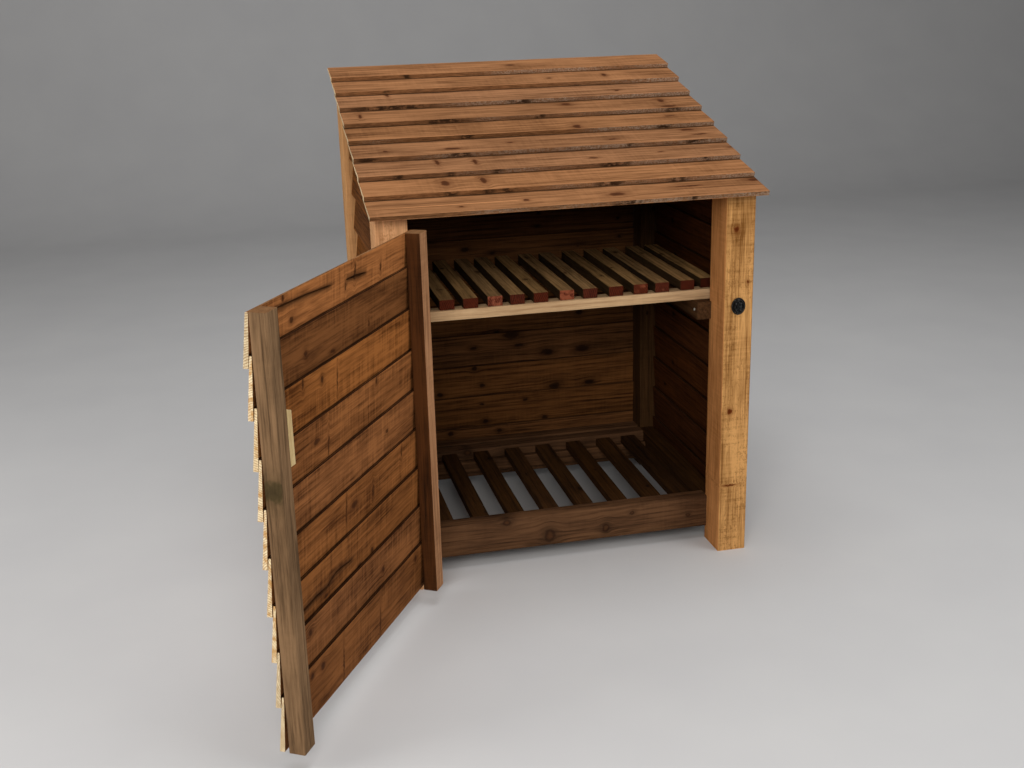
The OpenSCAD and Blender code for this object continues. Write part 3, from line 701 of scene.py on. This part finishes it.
def beam(node, body, slot, looks, low, high, along, seed, **more):
    """Makes a piece of one straight timber."""
    piece = Piece(node, body, slot, looks)
    add_beam(piece, low, high, along, seed, **more)
    piece.build()


# Posts, with tops cut along the roof
POST_KNOTS = {
    "front_post_right": [(877, 28, 7, 6), (398, 23, 7, 6), (189, 30, 2, 16), (742, 62, 4, 3)],
    "front_post_left": [(860, 30, 5, 5), (420, 44, 7, 6)],
    "back_post_left": [(980, 30, 7, 6), (640, 50, 6, 5), (300, 24, 8, 6)],
    "back_post_right": [(820, 40, 7, 6), (500, 22, 6, 5), (250, 50, 6, 6)],
}
POST_LOOKS = {"front_post_right": "post", "front_post_left": "post_pale"}
# The faces of the back posts inside the store take the dark inner look: painted shade.
POST_SLOTS = {
    "front_post_left": {0: 0, 1: 3, 2: 3, 3: 0},
    "front_post_right": {0: 0, 1: 0, 2: 3, 3: 3},
    "back_post_left": {0: 0, 1: 2, 2: 0, 3: 0},
    "back_post_right": {0: 2, 1: 0, 2: 0, 3: 2},
}
for side, word in SIDES:
    for y0, place in ((0.0, "front"), (BACK_POST_Y, "back")):
        node = f"{place}_post_{word}"
        looks = [POST_LOOKS.get(node, "post_plain"), "pale_end", "post_inner_shade", "post_side"]
        post = Piece(node, "store", "post_wood", looks)
        post.timber(rect(POST_W, POST_D), lambda loop, y=y0: roof_z(y + loop[:, 1]),
                    (INNER_X if side > 0 else -HALF_W, y0, 0), (Z, X, Y), 900 + side * 3 + int(y0),
                    knots=POST_KNOTS[node], radius=3.0, slot_of=POST_SLOTS[node])
        post.build()

# Roof boards, with their knots and the bark left on their lower edges
ROOF_NOTES = {
    0: {"knots": [(380, 45, 8, 6), (220, 30, 6, 4), (605, 45, 20, 9), (975, 80, 16, 9), (800, 66, 34, 3)],
        "bark": [(620, 40), (785, 12)], "long_step": 5.0, "ragged": 0.9, "pale": (215, 46, 230, 1.7)},
    1: {"knots": [(205, 55, 10, 16), (300, 60, 7, 20)],
        "bark": [(210, 16), (300, 16), (350, 20), (605, 40), (780, 26)]},
    2: {"knots": [(205, 70, 5, 16), (300, 60, 5, 16), (600, 40, 13, 4), (785, 55, 9, 3), (980, 60, 10, 4)],
        "bark": [(100, 14), (225, 10), (345, 14), (645, 45), (890, 10)]},
    3: {"tone": -0.8, "knots": [(255, 35, 24, 6), (85, 40, 6, 4), (410, 55, 8, 4), (900, 78, 18, 7),
                                (920, 40, 22, 5), (680, 37, 11, 4)],
        "bark": [(35, 25), (270, 30), (720, 12), (895, 30)]},
    4: {"tone": -1.2, "knots": [(605, 20, 10, 14), (880, 65, 14, 5)], "bark": [(305, 22), (840, 20)]},
    5: {"tone": -1.0, "knots": [(50, 55, 4, 14), (615, 75, 13, 9), (885, 64, 9, 13), (890, 14, 22, 7)],
        "bark": [(265, 55), (525, 15), (900, 22)]},
    6: {"knots": [(140, 92, 4, 14), (780, 40, 8, 5)], "bark": [(140, 115), (495, 35)]},
    7: {"tone": 0.6, "knots": [(775, 54, 6, 11), (610, 45, 7, 4)], "bark": [(140, 6)]},
    8: {"tone": 0.8, "knots": [(520, 53, 14, 5)], "bark": [(210, 14)]},
}
count, step = courses(ROOF_LEN)
roof = Piece("roof_boards", "store", "roof_wood", ["roof", "pale_end", "roof_edge"])
up, out = (0, math.cos(PITCH), math.sin(PITCH)), (0, -math.sin(PITCH), math.cos(PITCH))
boards(roof, 2 * ROOF_HALF, count, step, (-ROOF_HALF, ROOF_Y0, ROOF_Z0), (X, up, out), 11, BOARD_TOP_W,
       notes=ROOF_NOTES, long_step=9.0, ragged=0.3)
roof.build()

# Wall boards; the sides' top boards are cut along the roof
for side, word in SIDES:
    # The inner faces of the side walls take the darker inner look: painted shade.
    looks = ["side", "brown_end", "wall_edge", "side_inner_shade"]
    wall = Piece(f"{word}_side_boards", "store", "board_wood", looks)
    boards(wall, BACK_POST_Y - POST_D, SIDE_COUNT, BOARD_STEP, (side * SIDE_PLANE, POST_D, GROUND_GAP),
           (Y, Z, (side, 0, 0)), 21 + side, BOARD_W, (1, 3), cut=roof_cut, slot_of=WALL_SLOTS)
    wall.build()
BACK_NOTES = {
    0: {"tone": 0.0, "knots": [(202, 109, 8, 7), (356, 105, 8, 6)]},
    1: {"tone": 0.1, "knots": [(304, 98, 7, 3), (443, 100, 6, 4), (314, 40, 8, 6), (504, 33, 9, 6)]},
    2: {"tone": 0.6, "knots": [(284, 117, 9, 7), (307, 60, 8, 5), (175, 42, 8, 6), (538, 36, 16, 10),
                               (652, 38, 14, 8)]},
    3: {"tone": 0.0, "knots": [(284, 83, 10, 6), (426, 80, 14, 5), (516, 50, 18, 10), (629, 52, 20, 10),
                               (403, 116, 24, 12)]},
    4: {"tone": -0.2, "knots": [(358, 31, 9, 4), (620, 70, 10, 7)]},
    # Boards 6 to 9 are toned darker: painted shade behind the shelf and under the roof.
    6: {"tone": -0.5},
    7: {"tone": -1.1},
    8: {"tone": -1.2},
    9: {"tone": -1.1},
}
count, step = courses(roof_z(BACK_PLANE) - ROOF_CLEAR - GROUND_GAP)
back = Piece("back_boards", "store", "board_wood", ["side", "brown_end", "wall_edge", "back"])
boards(back, 2 * INNER_X, count, step, (-INNER_X, BACK_PLANE, GROUND_GAP), (X, Z, Y), 31, BOARD_TOP_W,
       (2, 5), notes=BACK_NOTES, slot_of=WALL_SLOTS)
back.build()

# Door boards, with the knots, tones and open cracks of their inner faces
DOOR_NOTES = {
    0: {"tone": -0.28, "knots": [(490, 45, 2, 35), (294, 40, 2, 30), (591, 98, 9, 9), (640, 100, 6, 6),
                                 (82, 104, 7, 9)]},
    1: {"tone": -0.2, "knots": [(264, 62, 5, 8), (632, 96, 7, 8)]},
    2: {"tone": -0.2, "knots": [(312, 33, 6, 6), (380, 29, 10, 4), (545, 36, 10, 4)], "long_step": 6.0,
        "crack": [(400, 60, 0.3, 0), (425, 60, 1.8, 3), (470, 66, 2.4, 4), (500, 67, 2.4, 4),
                  (542, 54, 3.0, 5), (590, 57, 3.6, 5), (645, 55, 3.0, 5), (690, 54, 0.3, 0)]},
    3: {"tone": -0.1, "knots": [(129, 100, 3, 12), (430, 85, 2, 30), (390, 79, 16, 8), (292, 71, 3, 14)]},
    4: {"tone": -0.05, "knots": [(200, 80, 6, 5)]},
    5: {"tone": -0.05, "knots": [(485, 49, 2, 20), (538, 79, 14, 5), (245, 116, 5, 9)]},
    6: {"tone": 0.05, "knots": [(428, 76, 2, 20), (498, 97, 5, 8), (582, 115, 3, 10)]},
    7: {"tone": -0.4, "knots": [(554, 67, 6, 7), (433, 39, 12, 4), (255, 49, 3, 7)]},
    8: {"tone": 0.25, "slot_of": WALL_SLOTS, "long_step": 6.0,
        "knots": [(314, 82, 3, 14), (632, 100, 3, 8), (358, 56, 3, 8), (180, 58, 3, 10), (598, 49, 7, 6)],
        "crack": [(250, 63, 0.3, 0), (268, 64, 2.4, 5), (305, 66.5, 4.4, 6), (345, 69, 2.6, 5),
                  (362, 70, 0.3, 0), (415, 74, 0.3, 0), (440, 76, 1.8, 4), (540, 82, 2.8, 5),
                  (620, 85, 2.4, 5), (700, 88, 0.3, 0)]},
}
count, step = courses(DOOR_Z1 - DOOR_Z0)
DOOR_PLANE = board_lean(step) + BOARD_THICK - DOOR_PROUD
door = Piece("door_boards", "door", "board_wood", ["door_outer", "pale_end", "door_edge", "door", "seam_shade"])
boards(door, 2 * DOOR_X, count, step, (-DOOR_X, DOOR_PLANE, DOOR_Z0), (X, Z, (0, -1, 0)), 61, BOARD_TOP_W,
       notes=DOOR_NOTES, slot_of=DOOR_SLOTS)
door.build()

# Rails of the walls; the top rails follow the roof
RAIL = ["rail", "brown_end"]
for side, word in SIDES:
    inner, outer = sorted((side * INNER_X, side * SIDE_PLANE))
    # The side bottom rails take the dark floor wood: painted shade, as they sit in shade inside the store.
    beam(f"side_bottom_rail_{word}", "store", "rail_wood", ["floor", "brown_end"],
         (inner, POST_D, GROUND_GAP), (outer, BACK_POST_Y, RAIL_TOP), "y", 70 + side)
    top = Piece(f"side_top_rail_{word}", "store", "rail_wood", RAIL)
    top.timber(rect(SIDE_TOP_H, outer - inner), BACK_POST_Y - POST_D,
               (inner, POST_D, roof_z(POST_D) - SIDE_TOP_H), ((0, 1, math.tan(PITCH)), Z, X), 74 + side)
    top.build()
back_y = BACK_PLANE - BACK_RAIL_D
beam("back_bottom_rail", "store", "rail_wood", RAIL, (-INNER_X, back_y, GROUND_GAP),
     (INNER_X, BACK_PLANE, RAIL_TOP), "x", 78)
top = Piece("back_top_rail", "store", "rail_wood", RAIL)
high_side = BACK_TOP_H + math.tan(PITCH) * BACK_RAIL_D
top.timber([[0, 0], [BACK_TOP_H, 0], [high_side, BACK_RAIL_D], [0, BACK_RAIL_D]], 2 * INNER_X,
           (-INNER_X, back_y, roof_z(back_y) - BACK_TOP_H), (X, Z, Y), 79)
top.build()

# Floor
RAIL_KNOTS = [(235, 80, 11, 9), (351, 28, 14, 18), (508, 30, 9, 12), (582, 65, 7, 5), (743, 39, 6, 5)]
for node, y, seed in zip(("floor_front_rail", "floor_back_rail"), FLOOR_RAIL_Y, (81, 82)):
    beam(node, "store", "rail_wood", RAIL, (-INNER_X, y, GROUND_GAP),
         (INNER_X, y + FLOOR_RAIL_D, RAIL_TOP), "x", seed, knots=RAIL_KNOTS, radius=5.0)
for node, y, seed in zip(("floor_ledger_front", "floor_ledger_back"), LEDGER_Y, (83, 84)):
    beam(node, "store", "rail_wood", RAIL, (-INNER_X, y, LEDGER_Z[0]),
         (INNER_X, y + LEDGER_D, LEDGER_Z[1]), "x", seed)
slats = Piece("floor_slats", "store", "rail_wood", ["floor", "brown_end"])
rng = np.random.default_rng(5)
for i in range(FLOOR_COUNT):
    x = FLOOR_X0 + i * FLOOR_SPAN / (FLOOR_COUNT - 1) - (FLOOR_LAST_IN if i == FLOOR_COUNT - 1 else 0)
    add_beam(slats, (x, LEDGER_Y[0], LEDGER_Z[1]), (x + FLOOR_SLAT_W, FLOOR_RAIL_Y[1], FLOOR_TOP), "y",
             100 + i, tone=rng.uniform(-1, 1), knots=random_knots(rng, FLOOR_KNOT_RUN, FLOOR_SLAT_W, 1))
slats.build()

# Shelf: slats nailed by eye, a little off their even pitch, and toned paler to the right: painted light
# falling in from the doorway
SLAT_SHIFT = (0, 0, -2, -5, -5, -10, -12, -6, -8, -2, 2, -3, 4, 0)
SLAT_INSET = (1, 3, 2, 0, 2, 1, 0, 3, 1, 0, 2, 1, 4, 14)
# The last slat's end gets a very low cap, which darkens it: painted shade.
SLAT_CAP = (-0.5, -0.3, -0.2, -0.4, 1.2, -0.4, -0.6, 1.4, -0.3, -0.4, 0.7, 0.3, 0.1, -3.0)
PAINTED_LIGHT_FIRST, PAINTED_LIGHT_STEP, TONE_SPREAD = -0.9, 0.11, 0.2
for side, word in SIDES:
    inner, outer = sorted((side * (INNER_X - BEARER_W), side * INNER_X))
    beam(f"shelf_bearer_{word}", "store", "rail_wood", ["rail_dark", "rail_dark"],
         (inner, BEARER_Y, BEARER_Z[0]), (outer, BACK_PLANE - BEARER_SHORT, BEARER_Z[1]), "y", 120 + side)
SHELF_RAILS = (("shelf_front_rail", "shelf_rail", 123), ("shelf_back_rail", "rail_dark", 124))
for y, (node, look, seed) in zip(SHELF_RAIL_Y, SHELF_RAILS):
    beam(node, "store", "shelf_wood", [look, "brown_end"], (-SHELF_HALF, y, BEARER_Z[1]),
         (SHELF_HALF, y + SHELF_RAIL_D, SHELF_RAIL_TOP), "x", seed)
# The slats' sides take the dark side look: painted shade.
slats = Piece("shelf_slats", "store", "shelf_wood", ["shelf", "red_end", "shelf_side_shade"])
for i in range(SHELF_COUNT):
    x = -SHELF_HALF + i * SHELF_SPAN / (SHELF_COUNT - 1) + SLAT_SHIFT[i]
    add_beam(slats, (x, SHELF_Y[0] + SLAT_INSET[i], SHELF_RAIL_TOP),
             (x + SHELF_SLAT_W, SHELF_Y[1], SHELF_Z), "y", 130 + i,
             tone=PAINTED_LIGHT_STEP * i + PAINTED_LIGHT_FIRST + TONE_SPREAD * rng.uniform(-1, 1),
             knots=random_knots(rng, SHELF_Y[1] - SHELF_Y[0], SHELF_SLAT_W, 1), cap=SLAT_CAP[i],
             slot_of={0: 2, 1: 2, 2: 0, 3: 2})
slats.build()

# Door frame
# One face of the hinge batten takes the lighter copy of its wood: painted light.
BATTENS = (
    ("door_batten_hinge", -DOOR_X, ["hinge_batten", "brown_end", "hinge_batten_lit_face"], 151, []),
    ("door_batten_free", DOOR_X - BATTEN_W, ["batten", "brown_end", "batten"], 152, [(559, 47, 22, 5)]),
)
for node, x, looks, seed, spots in BATTENS:
    beam(node, "door", "batten_wood", looks, (x, DOOR_PLANE, DOOR_Z0),
         (x + BATTEN_W, DOOR_PLANE + BATTEN_T, DOOR_Z1), "z", seed, knots=spots, radius=3.0,
         slot_of={0: 0, 1: 0, 2: 2, 3: 0})
block = Piece("catch_block", "door", "pale_wood", ["block", "pale_end"])
block.timber(rect(BLOCK_W, BLOCK_D), lambda loop: BLOCK_H - (BLOCK_W - loop[:, 0]) * math.tan(PITCH),
             (DOOR_X - BATTEN_W - BLOCK_W, DOOR_PLANE, BLOCK_Z), (Z, X, Y), 161, radius=0.8, step=5.0,
             long_step=8.0)
block.build()


# Fittings

# Rings of a head, each an inset from its rim and a height
SCREW_R = 4.0
SCREW_RINGS = [(0.0, 0.0), (0.0, 0.6), (0.3, 1.3), (0.9, 1.9), (1.5, 2.2), (1.8, 2.3), (2.2, 2.4),
               (2.6, 2.4), (3.0, 2.5), (3.4, 2.5), (3.8, 2.5)]
SLOT_HALF, SLOT_REACH, SLOT_DEEP = 0.6, 2.3, 1.1

# The catch has a flange, a raised rim, a sunk ring with four ribs and a middle button
CATCH_RINGS = [(0.0, 0.0), (0.0, 2.8), (0.7, 3.6), (1.6, 3.9), (3.6, 4.1), (4.0, 4.8), (4.3, 7.0),
               (4.9, 7.8), (5.8, 8.0), (6.8, 7.7), (7.6, 6.8), (8.2, 5.0), (9.0, 4.4), (10.0, 4.2),
               (11.2, 4.2), (12.2, 4.5), (12.8, 5.6), (13.4, 6.6), (14.4, 7.1), (16.0, 7.3), (17.5, 7.4)]
RIB_H, RIB_SPREAD, RIB_AT, RIB_HALF = 2.2, 0.35, 9.5, 2.2


class Fitting:
    """One object made of round or oval metal heads."""

    def __init__(self, name, body, look, node=None):
        self.name, self.body, self.look, self.node = name, body, look, node
        self.points, self.faces = [], []

    def head(self, middle, out, side, half, rings, press, around=40):
        """Adds a head of rings, closed at its crown and pressed in where press says."""
        start = len(self.points)
        over = np.cross(out, side)
        angle = np.linspace(0, 2 * math.pi, around, endpoint=False)
        for inset, height in rings:
            a = (half[0] - inset) * np.cos(angle)
            b = (half[1] - inset) * np.sin(angle)
            ring = np.outer(a, side) + np.outer(b, over) + np.outer(height - press(a, b), out)
            self.points += list(np.array(middle, float) + ring)
        for j in range(len(rings) - 1):
            for i in range(around):
                k = (i + 1) % around
                low, high = start + j * around, start + (j + 1) * around
                self.faces.append((low + i, low + k, high + k, high + i))
        self.faces.append(tuple(range(start, start + around))[::-1])
        self.faces.append(tuple(range(start + (len(rings) - 1) * around, start + len(rings) * around)))

    def build(self):
        mesh = bpy.data.meshes.new(self.name)
        mesh.from_pydata(to_row(self.points, self.body == "door").tolist(), [], self.faces)
        mesh.materials.append(LOOKS[self.look])
        add_object(self.name, mesh, self.body, self.node)


def cross_slot(a, b):
    """Depth of a screw's cross recess."""
    inside = (np.minimum(abs(a), abs(b)) < SLOT_HALF) & (np.hypot(a, b) < SLOT_REACH)
    return np.where(inside, SLOT_DEEP, 0.0)


def ribs(a, b):
    """Height of four ribs across the catch's sunk ring, as a negative depth."""
    angle, reach = np.arctan2(b, a), np.hypot(a, b)
    across = np.exp(-((np.cos(2 * angle) / RIB_SPREAD) ** 2))
    return -RIB_H * across * np.exp(-(((reach - RIB_AT) / RIB_HALF) ** 4))


def screws(name, body, look, places, out, side):
    fitting = Fitting(name, body, look)
    for place in places:
        fitting.head(place, out, side, (SCREW_R, SCREW_R), SCREW_RINGS, cross_slot)
    fitting.build()


for side, word in SIDES:
    places = [(side * (INNER_X - BEARER_W), y, BEARER_SCREW_Z) for y in BEARER_SCREW_Y]
    screws(f"bearer_screws_{word}", "store", "zinc", places, (-side, 0, 0), Y)
places = [(PLATE_X, PLATE_FACE, z + rise) for z in HINGE_Z for rise in PLATE_SCREWS]
screws("hinge_plate_screws", "store", "iron", places, (0, -1, 0), X)
places = [(-DOOR_X + along, STRAP_FACE, z - STRAP_DROP) for z in HINGE_Z for along in STRAP_SCREWS]
screws("hinge_strap_screws", "door", "iron", places, (0, -1, 0), X)
catch = Fitting("door_catch_dressed", "store", "catch_iron", "door_catch")
catch.head(CATCH_AT, (0, -1, 0), X, (CATCH_W / 2, CATCH_H / 2), CATCH_RINGS, ribs, 72)
catch.build()
for node in ("hinge_plate_top", "hinge_plate_bottom", "hinge_strap_top", "hinge_strap_bottom"):
    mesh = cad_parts[node].data
    mesh.materials.clear()
    mesh.materials.append(LOOKS["iron"])


# Floor, backdrop, light and camera; floor and lamps in metres

FLOOR_FRONT, FLOOR_BACK, FLOOR_HALF, BEND_R, WALL_TOP = -9.0, 5.0, 14.0, 2.0, 9.0
LAMP_AIM = (0.1, 0.1, 0.6)
WORLD_GREY, WORLD_STRENGTH = (0.95, 0.95, 0.95, 1.0), 0.08
AZIMUTH, TILT, ROLL = math.radians(12.61), math.radians(17.99), math.radians(-1.58)
CAMERA_AT = (-802.0, -2877.0, 1488.0)
FOCAL_PX, IMAGE_W, SENSOR = 1250.0, 1024.0, 36.0


def backdrop():
    """A pale floor that bends up into a pale wall far behind the store."""
    k = Look("pale_floor")
    place = k.add("ShaderNodeTexCoord").outputs["Object"]
    grain = k.noise(place, (3.0, 3.0, 3.0), 3.0)[0]
    k.set(Base_Color=k.mix(grain, (0.54, 0.54, 0.55, 1.0), (0.6, 0.6, 0.6, 1.0)), Roughness=0.7)
    profile = [(FLOOR_FRONT, 0.0), (FLOOR_BACK, 0.0)]
    for a in np.linspace(0.1, math.pi / 2, 12):
        profile.append((FLOOR_BACK + BEND_R * math.sin(a), BEND_R - BEND_R * math.cos(a)))
    profile.append((FLOOR_BACK + BEND_R, WALL_TOP))
    points = [(x, y, z) for y, z in profile for x in (-FLOOR_HALF, FLOOR_HALF)]
    faces = [(2 * i, 2 * i + 1, 2 * i + 3, 2 * i + 2) for i in range(len(profile) - 1)]
    mesh = bpy.data.meshes.new("studio_floor")
    mesh.from_pydata(points, [], faces)
    mesh.materials.append(k.material)
    mesh.shade_smooth()
    floor = new_object("studio_floor", mesh)


def lamp(name, place, size, power, colour):
    data = bpy.data.lights.new(name, "AREA")
    data.size = size
    data.energy = power
    data.color = colour
    item = new_object(name, data)
    item.location = place
    item.rotation_euler = (Vector(LAMP_AIM) - Vector(place)).to_track_quat("-Z", "Y").to_euler()


backdrop()
lamp("key_light", (-1.5, -4.7, 3.2), 2.6, 150.0, (1.0, 0.97, 0.93))
lamp("left_light", (-4.2, -0.6, 2.2), 2.4, 80.0, (1.0, 0.97, 0.94))
lamp("fill_light", (3.6, -2.8, 2.6), 3.0, 80.0, (1.0, 0.98, 0.96))
lamp("top_light", (0.2, -0.2, 5.0), 3.0, 115.0, (1.0, 1.0, 1.0))
world = bpy.data.worlds.new("studio")
world.use_nodes = True
sky = world.node_tree.nodes["Background"].inputs
sky[0].default_value = WORLD_GREY
sky[1].default_value = WORLD_STRENGTH
bpy.context.scene.world = world

ahead = Vector((math.sin(AZIMUTH) * math.cos(TILT), math.cos(AZIMUTH) * math.cos(TILT), -math.sin(TILT)))
level = Vector((math.cos(AZIMUTH), -math.sin(AZIMUTH), 0))
upward = level.cross(ahead)
right = math.cos(ROLL) * level + math.sin(ROLL) * upward
above = -math.sin(ROLL) * level + math.cos(ROLL) * upward
camera_data = bpy.data.cameras.new("camera")
camera_data.sensor_fit = "HORIZONTAL"
camera_data.sensor_width = SENSOR
camera_data.lens = FOCAL_PX / IMAGE_W * SENSOR
camera = new_object("camera", camera_data)
turn = Matrix((right, above, -ahead)).transposed().to_4x4()
camera.matrix_world = Matrix.Translation(Vector(to_row(CAMERA_AT)[0])) @ turn
bpy.context.scene.camera = camera
bpy.context.scene.view_settings.view_transform = "Standard"
